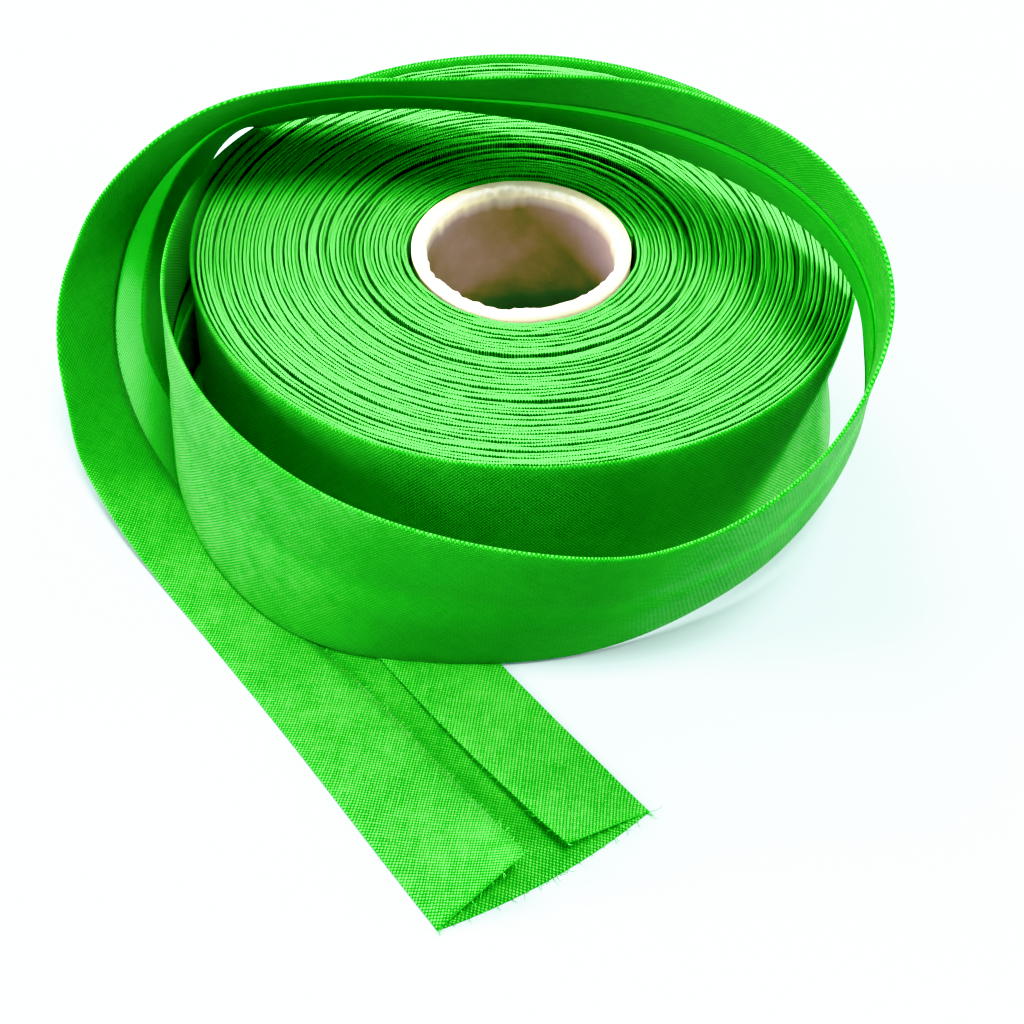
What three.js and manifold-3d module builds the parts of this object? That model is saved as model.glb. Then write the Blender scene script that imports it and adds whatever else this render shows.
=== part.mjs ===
// A roll of folded bias binding, with its loose end led once round the roll and laid out flat.
// Millimetres, +Z up. The pieces are a cardboard core, the wound roll, and the loose length of
// tape. The model is built about the axis of the roll and centred over its footprint at the end.

import * as THREE from 'three';
import { mergeVertices } from 'three/addons/utils/BufferGeometryUtils.js';
import Module from 'manifold-3d';

// ---- Driving dimensions ---------------------------------------------------------------------

const gap = 0.3;                  // air between two pieces that touch on the real thing

const roll = {
  radius: 45.5,                   // outside of the last tight turn
  height: 30,                     // the folded width of the tape
  edge: 0.6,                      // soft edge of the outermost turn
  coarseTurns: 5,                 // main steps of the winding, each a bundle of thin turns
  stepDepth: 0.7,                 // how far the bundles stand above each other
  recess: 1.3,                    // how much lower the innermost turns lie than the outer ones
  recessRadius: 22,               // where that hollow round the core begins
  looseBulge: 0.9,                // the last turn stands off the roll on one side
  looseAngle: -26,                // direction of that bulge, degrees from +X
  looseSpread: 24,
  radialSteps: 26,
  angleSteps: 96,
};

const core = {
  radius: 14.55,
  wall: 2.25,
  height: 29.1,
  edge: 0.5,
  angleSteps: 60,
};

// The tape is one strip whose two long sides are folded in towards the middle, so it has two
// stiff double leaves with a single layer between them, where it bends easily.
const tape = {
  upperLeaf: 15.4,                // from the bend line to the upper folded edge
  lowerLeaf: 14.6,                // from the bend line to the lower folded edge
  bandHalf: 2.1,                  // half of the single layer between the two flaps
  cloth: 1.0,                     // thickness of one layer in this model
  layerGap: 0.3,                  // air between a leaf and its flap
  foldRound: 0.7,                 // corner of a folded edge
  upperFlapRise: 5.0,             // the cut end springs open: rise of each flap's free edge
  upperFlapLength: 30,            // and the length over which it closes again
  lowerFlapRise: 2.4,
  lowerFlapLength: 60,
  stations: 124,
};
tape.thickness = 2 * tape.cloth + tape.layerGap;

// The route of the bend line, on the outer face of the tape. It leaves the roll at its back
// left, stands round the front, climbs on the right, crosses over the back of the roll in an
// arch, comes down outside its own first turn and lies flat under it.
// x, y, z: place of the bend line, with the axis of the roll at 0, 0 and the floor at 0.
// upper, lower: how far each leaf leans out from upright, in degrees.
const route = [
  // x,     y,     z,   upper, lower
  [-34.2, 34.2, 14.9, -1, -1],
  [-42.4, 24.4, 14.9, -1, -1],
  [-47.5, 12.7, 18.8, -2, -2],
  [-49.6, 0.0, 20.6, -2, -2],
  [-49.0, -13.3, 19.2, -2, -2],
  [-45.4, -26.4, 18.3, -2, -2],
  [-38.4, -38.4, 18.1, -2, -2],
  [-27.8, -48.1, 18.1, 0, 0],
  [-14.3, -53.5, 17.9, 8, 8],
  [0.0, -55.1, 17.5, 14, 14],
  [12.4, -53.6, 16.5, 18, 18],
  [23.0, -51.2, 17.7, 21, 21],
  [32.0, -47.7, 21.6, 20, 20],
  [39.0, -42.4, 26.6, 16, 16],
  [43.5, -36.2, 33.2, 8, 8],
  [45.2, -28.5, 40.1, -4, -4],
  [42.0, -18.0, 45.0, -21, -21],
  [34.0, -5.8, 46.4, -31, -31],
  [24.5, 2.7, 46.2, -36, -36],
  [14.7, 8.4, 45.5, -40, -40],
  [4.0, 12.0, 44.8, -44, -44],
  [-8.0, 14.2, 44.0, -48, -48],
  [-20.0, 15.6, 43.2, -50, -50],
  [-31.0, 15.2, 42.2, -49, -49],
  [-41.0, 13.4, 41.6, -52, -57],
  [-49.2, 13.2, 37.2, -56, -62],
  [-53.8, 10.8, 29.2, -40, -37],
  [-57.0, 7.4, 20.4, -2, 0],
  [-58.4, 1.4, 10.4, 33, 27],
  [-57.0, -4.8, 2.9, 60, 79],
  [-51.4, -11.2, 0.4, 74, 89],
  [-42.0, -22.0, 0.0, 84, 90],
  [-31.8, -33.5, 0.0, 90, 90],
  [-16.5, -53.0, 0.0, 90, 90],
  [5.1, -83.6, 0.0, 90, 90],
];

// The roll stands partly on the flat end of the tape, so its underside has a shallow relief
// there, behind a straight line that runs beside the tape.
const relief = {
  bearing: 218.1,                 // direction from the axis, degrees from +X
  distance: 30.6,                 // from the axis to the straight side of the relief
  height: 3.2,
};

const colours = {
  cloth: 0x1fa51f,
  looseCloth: 0x2bb52b,
  card: 0xd8cbaa,
};

// ---- Helpers --------------------------------------------------------------------------------

const wasm = await Module();
wasm.setup();

const degrees = THREE.MathUtils.degToRad;
const smooth = THREE.MathUtils.smoothstep;

// A closed mesh from rings of points: each ring is joined to the next one.
function ringMesh(rings, closed, capTriangles = []) {
  const count = rings[0].length;
  const index = [];
  const last = closed ? rings.length : rings.length - 1;
  for (let i = 0; i < last; i += 1) {
    const here = i * count;
    const next = ((i + 1) % rings.length) * count;
    for (let j = 0; j < count; j += 1) {
      const k = (j + 1) % count;
      index.push(here + j, next + j, next + k, here + j, next + k, here + k);
    }
  }
  const end = (rings.length - 1) * count;
  for (const [a, b, c] of capTriangles) {
    index.push(a, b, c, end + a, end + c, end + b);
  }
  const geometry = new THREE.BufferGeometry();
  geometry.setAttribute('position', new THREE.Float32BufferAttribute(rings.flat(2), 3));
  geometry.setIndex(index);
  return geometry;
}

function toManifold(geometry) {
  const bare = geometry.clone();
  bare.deleteAttribute('normal');
  bare.deleteAttribute('uv');
  const merged = mergeVertices(bare);
  return new wasm.Manifold(new wasm.Mesh({
    numProp: 3,
    vertProperties: new Float32Array(merged.attributes.position.array),
    triVerts: new Uint32Array(merged.index.array),
  }));
}

function fromManifold(solid) {
  const mesh = solid.getMesh();
  const geometry = new THREE.BufferGeometry();
  geometry.setAttribute('position', new THREE.BufferAttribute(mesh.vertProperties, 3));
  geometry.setIndex(new THREE.BufferAttribute(mesh.triVerts, 1));
  return geometry;
}

function named(name, geometry, colour, roughness) {
  const material = new THREE.MeshStandardMaterial({ color: colour, roughness, metalness: 0 });
  geometry.computeVertexNormals();
  const mesh = new THREE.Mesh(geometry, material);
  mesh.name = name;
  return mesh;
}

// ---- Core -----------------------------------------------------------------------------------

function makeCore() {
  const inside = core.radius - core.wall;
  const profile = [
    [inside, 0], [core.radius, 0], [core.radius, core.height - core.edge],
    [core.radius - core.edge, core.height], [inside + core.edge, core.height],
    [inside, core.height - core.edge], [inside, 0],
  ].map(([r, z]) => new THREE.Vector2(r, z));
  const tube = new THREE.LatheGeometry(profile, core.angleSteps);
  tube.rotateX(Math.PI / 2);
  return fromManifold(toManifold(tube));
}

// ---- Winding --------------------------------------------------------------------------------

// Height of the wound top at a radius and an angle. The bundles of turns follow a spiral, so
// every step moves outwards by one bundle in each time round.
function topHeight(radius, angle) {
  const inner = core.radius + gap;
  const pitch = (roll.radius - inner) / roll.coarseTurns;
  const turn = (radius - inner) / pitch - angle / (2 * Math.PI);
  const step = 0.5 - 0.5 * Math.cos(2 * Math.PI * turn);
  const uneven = 0.5 + 0.5 * Math.sin(2.4 * turn + 1);
  const hollow = roll.recess * (1 - smooth(radius, inner, roll.recessRadius));
  return roll.height - roll.stepDepth * step * uneven - hollow;
}

// The outermost turn stands off a little on one side of the roll.
function sideRadius(angle, z) {
  const centre = degrees(roll.looseAngle);
  const away = Math.atan2(Math.sin(angle - centre), Math.cos(angle - centre));
  const around = Math.exp(-((away / degrees(roll.looseSpread)) ** 2));
  return roll.radius + roll.looseBulge * around * Math.sin(Math.PI * z / roll.height);
}

function windingRing(angle) {
  const inner = core.radius + gap;
  const ring = [];
  const put = (r, z) => ring.push([r * Math.cos(angle), r * Math.sin(angle), z]);
  const rim = roll.radius - roll.edge;
  put(inner, 0);
  put(rim, 0);
  for (const z of [roll.edge, roll.height / 3, 2 * roll.height / 3, roll.height - roll.edge]) {
    put(sideRadius(angle, z), z);
  }
  for (let i = roll.radialSteps; i >= 0; i -= 1) {
    const radius = THREE.MathUtils.lerp(inner, rim, i / roll.radialSteps);
    put(radius, topHeight(radius, angle));
  }
  return ring;
}

function makeReliefCutter() {
  const reach = 2 * roll.radius;
  const block = new THREE.BoxGeometry(reach, 2 * reach, 2 * relief.height);
  block.translate(relief.distance + reach / 2, 0, 0);
  block.rotateZ(degrees(relief.bearing));
  return toManifold(block);
}

function makeWinding() {
  const rings = [];
  for (let i = 0; i < roll.angleSteps; i += 1) {
    rings.push(windingRing(2 * Math.PI * i / roll.angleSteps));
  }
  const body = toManifold(ringMesh(rings, true));
  return fromManifold(body.subtract(makeReliefCutter()));
}

// ---- Loose tape -----------------------------------------------------------------------------

// The folded section as [side, reach, depth]: side 1 is the upper leaf and -1 the lower one,
// reach is the distance from the bend line, and depth goes in from the outer face. Points
// marked with a flap rise with that flap where it springs open.
function tapeSection() {
  const t = tape;
  const inner = t.cloth + t.layerGap;
  const leaf = (side, length) => [
    [side, length - t.foldRound, 0],
    [side, length, t.foldRound],
    [side, length, t.thickness - t.foldRound],
    [side, length - t.foldRound, t.thickness],
    [side, t.bandHalf, t.thickness, 'flap'],
    [side, t.bandHalf, inner, 'flap'],
    [side, length - t.cloth, inner],
    [side, length - t.cloth, t.cloth],
  ];
  return [
    [1, 0, 0],
    ...leaf(-1, t.lowerLeaf),
    [1, 0, t.cloth],
    ...leaf(1, t.upperLeaf).reverse(),
  ].reverse();
}

// Directions at one place of the route: the two leaves, and the two ways into the cloth.
function leafFrame(tangent, upperLean, lowerLean) {
  const upright = new THREE.Vector3(0, 0, 1).addScaledVector(tangent, -tangent.z).normalize();
  const outwards = new THREE.Vector3().crossVectors(tangent, upright);
  const leaning = (lean) => upright.clone().multiplyScalar(Math.cos(degrees(lean)))
    .addScaledVector(outwards, Math.sin(degrees(lean)));
  const upper = leaning(upperLean);
  const lower = leaning(lowerLean);
  return {
    upper,
    lower,
    upperIn: new THREE.Vector3().crossVectors(upper, tangent),
    lowerIn: new THREE.Vector3().crossVectors(lower, tangent),
  };
}

function makeTape() {
  const bendLine = new THREE.CatmullRomCurve3(
    route.map(([x, y, z]) => new THREE.Vector3(x, y, z)), false, 'centripetal');
  bendLine.arcLengthDivisions = 2000;
  const leans = new THREE.CatmullRomCurve3(
    route.map(([, , , upper, lower]) => new THREE.Vector3(upper, lower, 0)),
    false, 'catmullrom', 0.5);
  const length = bendLine.getLength();
  const section = tapeSection();
  const rings = [];
  for (let i = 0; i <= tape.stations; i += 1) {
    const along = i / tape.stations;
    const t = bendLine.getUtoTmapping(along);
    const place = bendLine.getPoint(t);
    const lean = leans.getPoint(t);
    const frame = leafFrame(bendLine.getTangent(t), lean.x, lean.y);
    const middleIn = frame.upperIn.clone().add(frame.lowerIn).normalize();
    const toEnd = length * (1 - along);
    const upperRise = tape.upperFlapRise * (1 - smooth(toEnd, 0, tape.upperFlapLength));
    const lowerRise = tape.lowerFlapRise * (1 - smooth(toEnd, 0, tape.lowerFlapLength));
    rings.push(section.map(([side, reach, depth, flap]) => {
      const leaf = side > 0 ? frame.upper : frame.lower;
      const rise = flap ? (side > 0 ? upperRise : lowerRise) : 0;
      const inwards = reach === 0 ? middleIn : (side > 0 ? frame.upperIn : frame.lowerIn);
      const point = place.clone().addScaledVector(leaf, side * reach)
        .addScaledVector(inwards, depth + rise);
      return [point.x, point.y, Math.max(point.z, 0)];
    }));
  }
  const flat = section.map(([side, reach, depth]) => new THREE.Vector2(side * reach, depth));
  const caps = THREE.ShapeUtils.triangulateShape(flat, []);
  return ringMesh(rings, false, caps);
}

// ---- Object ---------------------------------------------------------------------------------

const binding = new THREE.Group();
binding.name = 'bias_binding_roll';
binding.add(named('core', makeCore(), colours.card, 0.9));
binding.add(named('winding', makeWinding(), colours.cloth, 0.85));
binding.add(named('tape', makeTape(), colours.looseCloth, 0.85));

// Centre the footprint over the origin, with the underside at z = 0.
const bounds = new THREE.Box3().setFromObject(binding);
const middle = bounds.getCenter(new THREE.Vector3());
binding.position.set(-middle.x, -middle.y, -bounds.min.z);

export default binding;
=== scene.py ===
# %% [markdown]
# # A roll of bias binding, with its loose end laid out
# Bias binding is a long strip of cotton cut at 45 degrees to its threads, so that it bends round
# a curved seam. A folder turns both long sides in towards the middle, an iron sets the folds,
# and the tape is wound on a card core. This lesson builds such a roll round a fixed frame: the
# frame says where each piece is and how large it is, and the cells below make the cloth.

# %% Load the fixed frame
import math

import bpy
import numpy as np
from mathutils import Matrix, Vector


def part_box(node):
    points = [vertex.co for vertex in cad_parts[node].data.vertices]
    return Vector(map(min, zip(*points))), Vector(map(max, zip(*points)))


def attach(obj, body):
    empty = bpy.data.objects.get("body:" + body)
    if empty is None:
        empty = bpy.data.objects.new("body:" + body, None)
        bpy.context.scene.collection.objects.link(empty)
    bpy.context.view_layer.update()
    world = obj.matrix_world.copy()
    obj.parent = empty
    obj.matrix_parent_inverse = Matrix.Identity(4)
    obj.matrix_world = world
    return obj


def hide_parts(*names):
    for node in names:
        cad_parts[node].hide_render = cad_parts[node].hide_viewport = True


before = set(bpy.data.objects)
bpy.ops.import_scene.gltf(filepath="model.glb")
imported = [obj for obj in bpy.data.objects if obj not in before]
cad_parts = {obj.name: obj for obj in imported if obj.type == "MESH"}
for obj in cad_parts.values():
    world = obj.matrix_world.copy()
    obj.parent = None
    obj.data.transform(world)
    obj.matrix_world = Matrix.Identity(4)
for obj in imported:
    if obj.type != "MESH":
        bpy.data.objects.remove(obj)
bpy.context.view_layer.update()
print("frame:", sorted(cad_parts))

# %% [markdown]
# Everything stands about the axis of the core, so the first thing to read off the frame is that
# axis. Sizes are written in millimetres, as a haberdasher would say them, and turned to metres
# where the scene needs them.

# %% Sizes taken from the frame, and those of the cloth
MM = 0.001

core_low, core_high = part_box("core")
roll_low, roll_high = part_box("winding")
AXIS = Vector(((core_low.x + core_high.x) / 2, (core_low.y + core_high.y) / 2, 0))
CORE_RADIUS = (core_high.x - core_low.x) / 2 / MM
CORE_HEIGHT = core_high.z / MM
ROLL_HEIGHT = roll_high.z / MM
ROLL_RADIUS = (AXIS.y - roll_low.y) / MM

CLOTH = 0.23            # thickness of one layer
LAYER_PITCH = 0.29      # from the middle of a leaf to the middle of its flap
UPPER_LEAF = 15.4       # from the bend line to the upper folded edge
BAND_HALF = 2.1         # half of the single layer between the flaps
THREAD_PITCH = 0.37     # from one thread to the next

print(f"roll {2 * ROLL_RADIUS:.1f} x {ROLL_HEIGHT:.1f} mm, core {2 * CORE_RADIUS:.1f} mm")

# %% [markdown]
# The camera comes first, because every later choice is judged through it. It is a short
# telephoto lens half a step away and 45 degrees up, with the slight turn of a hand-held camera.
# Its axes are worked out from two angles and written into one matrix.

# %% Camera
CAMERA_PLACE = (-0.25, -226.0, 205.5)
CAMERA_PITCH = 45.38
CAMERA_ROLL = 1.64
SENSOR = 36
LENS = 72


def add_object(name, data):
    """A new object in the scene's own collection."""
    made = bpy.data.objects.new(name, data)
    bpy.context.scene.collection.objects.link(made)
    return made


def make_camera():
    pitch, roll = math.radians(CAMERA_PITCH), math.radians(CAMERA_ROLL)
    forward = Vector((0, math.cos(pitch), -math.sin(pitch)))
    level = Vector((1, 0, 0))
    above = level.cross(forward)
    right = level * math.cos(roll) + above * math.sin(roll)
    up = above * math.cos(roll) - level * math.sin(roll)
    data = bpy.data.cameras.new("camera")
    data.sensor_width = SENSOR
    data.lens = LENS
    data.clip_start = 0.01
    camera = add_object("camera", data)
    turn = Matrix((right, up, -forward)).transposed().to_4x4()
    camera.matrix_world = Matrix.Translation(AXIS + Vector(CAMERA_PLACE) * MM) @ turn
    bpy.context.scene.camera = camera


make_camera()

# %% [markdown]
# ## Threads
# The cloth is a plain weave: each thread goes over one and under the next. One shader group
# makes it from flat coordinates in millimetres, so that it follows the tape round every bend.
# The coordinates are turned 45 degrees, because the strip is cut on the bias. Each square of the
# weave shows either a warp or a weft thread, and the thread's round back is a sine. A second
# output varies along single threads, as spun cotton does.


# %% Helpers for node trees
class Nodes:
    """Adds nodes to one tree and joins them; a plain value is set on the socket itself."""

    def __init__(self, tree):
        self.tree = tree

    def add(self, kind, inputs=None, **settings):
        node = self.tree.nodes.new(kind)
        for name, value in settings.items():
            setattr(node, name, value)
        for key, value in (inputs or {}).items():
            if isinstance(value, bpy.types.NodeSocket):
                self.tree.links.new(value, node.inputs[key])
            else:
                node.inputs[key].default_value = value
        return node

    def math(self, operation, *values):
        node = self.add("ShaderNodeMath", dict(enumerate(values)), operation=operation)
        return node.outputs[0]

    def vector(self, operation, *values):
        node = self.add("ShaderNodeVectorMath", dict(enumerate(values)), operation=operation)
        scalar = operation in ("DOT_PRODUCT", "LENGTH", "DISTANCE")
        return node.outputs["Value" if scalar else "Vector"]

    def combine(self, x=0.0, y=0.0, z=0.0):
        return self.add("ShaderNodeCombineXYZ", {0: x, 1: y, 2: z}).outputs[0]

    def separate(self, vector):
        return self.add("ShaderNodeSeparateXYZ", {0: vector}).outputs

    def noise(self, vector, scale, detail=2.0, roughness=0.5):
        node = self.add("ShaderNodeTexNoise", {
            "Vector": vector, "Scale": scale, "Detail": detail, "Roughness": roughness})
        return node.outputs[0]

    def spread(self, value, low, high, to_low=0.0, to_high=1.0):
        node = self.add("ShaderNodeMapRange", {
            0: value, 1: low, 2: high, 3: to_low, 4: to_high})
        return node.outputs[0]

    def blend(self, factor, first, second):
        node = self.add("ShaderNodeMix", data_type="RGBA")
        for socket, value in zip((node.inputs[0], node.inputs[6], node.inputs[7]),
                                 (factor, first, second)):
            if isinstance(value, bpy.types.NodeSocket):
                self.tree.links.new(value, socket)
            else:
                socket.default_value = value
        return node.outputs[2]


def new_group(name, kind, inputs, outputs):
    """A node group with named sockets, and its input and output nodes."""
    tree = bpy.data.node_groups.new(name, kind)
    for label, socket, value in inputs:
        made = tree.interface.new_socket(label, in_out="INPUT", socket_type=socket)
        if value is not None:
            made.default_value = value
    for label, socket in outputs:
        tree.interface.new_socket(label, in_out="OUTPUT", socket_type=socket)
    nodes = Nodes(tree)
    return nodes, nodes.add("NodeGroupInput").outputs, nodes.add("NodeGroupOutput").inputs


# %% The plain weave as a shader group
def make_weave_group():
    n, given, result = new_group("plain_weave", "ShaderNodeTree", [
        ("Vector", "NodeSocketVector", None),
        ("Thread Pitch", "NodeSocketFloat", THREAD_PITCH),
    ], [
        ("Height", "NodeSocketFloat"),
        ("Thread Shade", "NodeSocketFloat"),
        ("Warp On Top", "NodeSocketFloat"),
    ])
    turned = n.add("ShaderNodeVectorRotate", {
        "Vector": given["Vector"], "Angle": math.radians(45)}, rotation_type="Z_AXIS").outputs[0]
    pitch = n.combine(given["Thread Pitch"], given["Thread Pitch"], 1.0)
    across, along, _ = n.separate(n.vector("DIVIDE", turned, pitch))
    warp_number, weft_number = n.math("FLOOR", across), n.math("FLOOR", along)
    warp_back = n.math("SINE", n.math("MULTIPLY", n.math("FRACT", across), math.pi))
    weft_back = n.math("SINE", n.math("MULTIPLY", n.math("FRACT", along), math.pi))
    checker = n.math("FLOORED_MODULO", n.math("ADD", warp_number, weft_number), 2.0)
    warp = n.math("MULTIPLY", warp_back, n.math("MULTIPLY_ADD", weft_back, 0.45, 0.55))
    weft = n.math("MULTIPLY", weft_back, n.math("MULTIPLY_ADD", warp_back, 0.45, 0.55))
    difference = n.math("SUBTRACT", warp, weft)
    height = n.math("MULTIPLY_ADD", difference, checker, weft)
    warp_slubs = n.noise(n.combine(n.math("MULTIPLY", warp_number, 3.7),
                                   n.math("MULTIPLY", along, 0.11), 0.0), 1.0)
    weft_slubs = n.noise(n.combine(n.math("MULTIPLY", across, 0.11),
                                   n.math("MULTIPLY", weft_number, 3.7), 9.0), 1.0)
    slubs = n.math("MULTIPLY_ADD", n.math("SUBTRACT", warp_slubs, weft_slubs), checker,
                   weft_slubs)
    for key, value in (("Height", height), ("Thread Shade", slubs), ("Warp On Top", checker)):
        n.tree.links.new(value, result[key])
    return n.tree


weave_group = make_weave_group()
print("weave group:", len(weave_group.nodes), "nodes")

# %% [markdown]
# Cotton is matt, with a faint sheen from its fuzz, and thin enough that light passes through a
# single layer. So each cloth material is a Principled surface with a share of light let
# through. The wound turns and the loose tape get the same recipe with their own values.

# %% The cloth material
CLOTH_COORDINATES = "strip"     # the UV map, in millimetres of flat strip: along, across
# Dark, body and light run from painted shade in the weave's hollows to painted light on the thread
# backs; spinning and dye also move them.
SHADE_DARK = (0.004, 0.10, 0.006, 1)
SHADE_BODY = (0.031, 0.25, 0.030, 1)
SHADE_LIGHT = (0.092, 0.37, 0.075, 1)
SHADE_THROUGH = (0.03, 0.90, 0.07, 1)      # light that has come through the dyed cotton
SHADE_BETWEEN = (0.85, 1.0, 0.75, 1)       # and light that has come between its threads
# Painted backlight: one open layer painted paler, as if lit from behind.
SHADE_PAINTED_BACKLIGHT = (0.20, 0.60, 0.20, 1)         # one open layer, seen with light behind it
# Painted highlight on the yarn tips along a fold; the loose hairs also use it as their lighter
# tone.
SHADE_TIP = (0.10, 0.58, 0.09, 1)          # yarn tips along a fold, which catch the light
# Painted shade where two turns meet.
SHADE_PAINTED_CREVICE = (0.001, 0.018, 0.002, 1)   # and the dark between two turns


def cloth_shade(n, weave, place, contrast):
    """Thread colour: painted light on the round backs, painted shade between threads, uneven
    spinning and a cloudy dye.
    """
    cloudy = n.noise(place, 0.09, 3.0, 0.6)
    worn = n.spread(cloudy, 0.35, 0.65, -0.10, 0.10)
    thread = n.spread(weave["Thread Shade"], 0.3, 0.7, -contrast, contrast)
    # Painted light and shade: the thread backs are painted lighter and the hollows between threads
    # darker.
    backs = n.spread(weave["Height"], 0.15, 0.9)
    light = n.math("ADD", n.math("MULTIPLY_ADD", backs, 1.05, 0.02), n.math("ADD", thread, worn))
    low = n.blend(n.spread(light, 0.0, 0.5), SHADE_DARK, SHADE_BODY)
    return n.blend(n.spread(light, 0.5, 1.0), low, SHADE_LIGHT)


def new_cloth(name):
    """An empty material with the strip's coordinates and the weave read from them."""
    material = bpy.data.materials.new(name)
    material.use_nodes = True
    material.node_tree.nodes.clear()
    n = Nodes(material.node_tree)
    place = n.add("ShaderNodeUVMap", uv_map=CLOTH_COORDINATES).outputs[0]
    weave = n.add("ShaderNodeGroup", node_tree=weave_group)
    n.tree.links.new(place, weave.inputs["Vector"])
    return material, n, place, weave.outputs


def finish_cloth(n, colour, through_colour, height, let_through, relief):
    """A matt surface, mixed with a share of light that comes through from the other side."""
    bump = n.add("ShaderNodeBump", {
        "Strength": relief, "Distance": 0.09 * MM, "Height": height})
    surface = n.add("ShaderNodeBsdfPrincipled", {
        "Base Color": colour, "Roughness": 0.8, "Specular IOR Level": 0.15,
        "Sheen Weight": 0.10, "Sheen Roughness": 0.4, "Normal": bump.outputs[0]})
    through = n.add("ShaderNodeBsdfTranslucent", {
        "Color": through_colour, "Normal": bump.outputs[0]})
    mixed = n.add("ShaderNodeMixShader", {
        0: let_through, 1: surface.outputs[0], 2: through.outputs[0]})
    n.add("ShaderNodeOutputMaterial", {"Surface": mixed.outputs[0]})


def make_loose_cloth():
    """Thin cloth. Where it is one layer thick, light also comes between the threads, and a painted
    backlight makes it paler.
    """
    material, n, place, weave = new_cloth("loose_cotton")
    colour = cloth_shade(n, weave, place, contrast=0.22)
    raw_edge = n.add("ShaderNodeAttribute", attribute_name="raw_edge").outputs["Fac"]
    beyond = n.math("SUBTRACT", n.math("ABSOLUTE", n.separate(place)[1]), raw_edge)
    single = n.spread(beyond, -0.3, 0.1, 1.0, 0.0)
    between = n.spread(weave["Height"], 0.25, 0.7, 1.0, 0.45)
    painted_backlight = n.add("ShaderNodeAttribute", attribute_name="painted_backlight").outputs["Fac"]
    backlit_single_layer = n.math("MULTIPLY", n.math("MULTIPLY", single, between), painted_backlight)
    through = n.blend(backlit_single_layer, SHADE_THROUGH, SHADE_BETWEEN)
    # Painted backlight: where the mask is set, the base colour itself is painted paler.
    colour = n.blend(n.math("MULTIPLY", backlit_single_layer, 0.95), colour, SHADE_PAINTED_BACKLIGHT)
    finish_cloth(n, colour, through, weave["Height"], let_through=0.32, relief=0.7)
    return material


def make_wound_cloth():
    """Cloth seen edge on: round yarn tips with a painted highlight, and dashes of painted shade
    where two turns meet.
    """
    material, n, place, weave = new_cloth("wound_cotton")
    colour = cloth_shade(n, weave, place, contrast=0.20)
    across = n.math("ABSOLUTE", n.add(
        "ShaderNodeAttribute", attribute_name="across_turn").outputs["Fac"])
    length = n.separate(place)[0]
    wobble = n.noise(n.combine(n.math("MULTIPLY", length, 1.1), 0.0, 0.0), 1.0, 2.0)
    tips = n.math("SINE", n.math("MULTIPLY_ADD", length, 2 * math.pi / THREAD_PITCH,
                                 n.math("MULTIPLY", wobble, 9.0)))
    patches = n.noise(n.combine(n.math("MULTIPLY", length, 0.16), 3.0, 0.0), 1.0, 3.0, 0.7)
    reach = n.math("ADD", n.spread(tips, -0.6, 0.8, 0.0, 0.40), n.spread(
        patches, 0.35, 0.65, -0.12, 0.16))
    # Painted shade: a thin dark line between the two layers of the folded tape, and wider dashes
    # where two turns meet.
    seam = n.spread(across, 0.04, 0.16, 0.55, 0.0)      # the two layers of the folded tape
    crevice = n.math(
        "MAXIMUM", n.spread(n.math("SUBTRACT", across, reach), 0.56, 0.72, 0.0, 0.97),
        n.math("MULTIPLY", seam, n.spread(patches, 0.4, 0.6, 0.3, 1.0)))
    # Painted highlight on the yarn tips, strongest along the middle of each turn's top.
    painted_light = n.math("MULTIPLY", n.spread(tips, -1.0, 0.8, 0.45, 1.0), n.spread(
        across, 0.5, 0.95, 1.0, 0.2))
    colour = n.blend(painted_light, colour, SHADE_TIP)
    colour = n.blend(crevice, colour, SHADE_PAINTED_CREVICE)
    height = n.math("ADD", n.math("MULTIPLY", weave["Height"], 0.5), n.math(
        "MULTIPLY_ADD", tips, 0.4, n.math("MULTIPLY", crevice, -0.6)))
    finish_cloth(n, colour, SHADE_THROUGH, height, let_through=0.04, relief=1.0)
    return material


loose_cloth = make_loose_cloth()
wound_cloth = make_wound_cloth()

# %% [markdown]
# ## The wound turns
# A wound tape is the plainest rule in this lesson: one line that goes round and round while its
# radius grows by the thickness of the folded cloth. Geometry Nodes make that spiral, push each
# turn in and out and up and down a little with noise, because no winding is even, and sweep a
# tall thin slab with round edges along it. The slab's top and bottom are moved separately.
#
# One fault is left in. The two shifts are read after the spiral is made, and there the spline's
# factor runs by length, no longer by turns. So they land on other turns than the values name,
# and the lift meant for the turns over the loose end is scattered round the roll: most of those
# turns stay down and pass through the tape, out of sight. Capturing the factor on the straight
# line, before the points are moved, would put it right.

# %% Spiral of turns in Geometry Nodes
TURNS = 56
STEPS_PER_TURN = 110
TURN_THICKNESS = 0.50
TURN_HEIGHT = ROLL_HEIGHT - 0.35    # which leaves room for uneven tops
CARD_RADIUS = CORE_RADIUS + 0.8     # the card is drawn a little wider than the frame's core
START_RADIUS = CARD_RADIUS + 0.40
LAST_RADIUS = ROLL_RADIUS - 0.75
LAST_ANGLE = 12.0               # where the last wound turn goes over into the loose tape
RELIEF_BEARING = 218.1          # the flat end of the tape lies under this side of the roll
RELIEF_DISTANCE = 30.8
RIDE_UP = 1.25                  # the lift meant for the turns over it
LOW_TURN_DROP = 0.62
CORE_DROP, CORE_DROP_TURNS = 0.75, 13.0     # lower near the core, up to turn 19
GROOVE_TURN, GROOVE_DEPTH = 9.6, 1.0        # a deep groove, which lands at 14.8
PINCH_BEARING = -5.0            # the roll's waist is drawn in most on this side
PINCH_DEPTH = 2.0
PINCH_MORE = 0.3                # the wound turns go in this much further than the tape on them
PINCH_FROM = 35.0
SLACK_BEARING = 328.0           # the outer turns stand off a little here
SLACK = 1.1
SLACK_POWER = 9.4               # how narrow that place is, as a power of the cosine
SLACK_WIDTH = 26.0              # and nearly the same width for the last turn, in degrees


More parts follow.
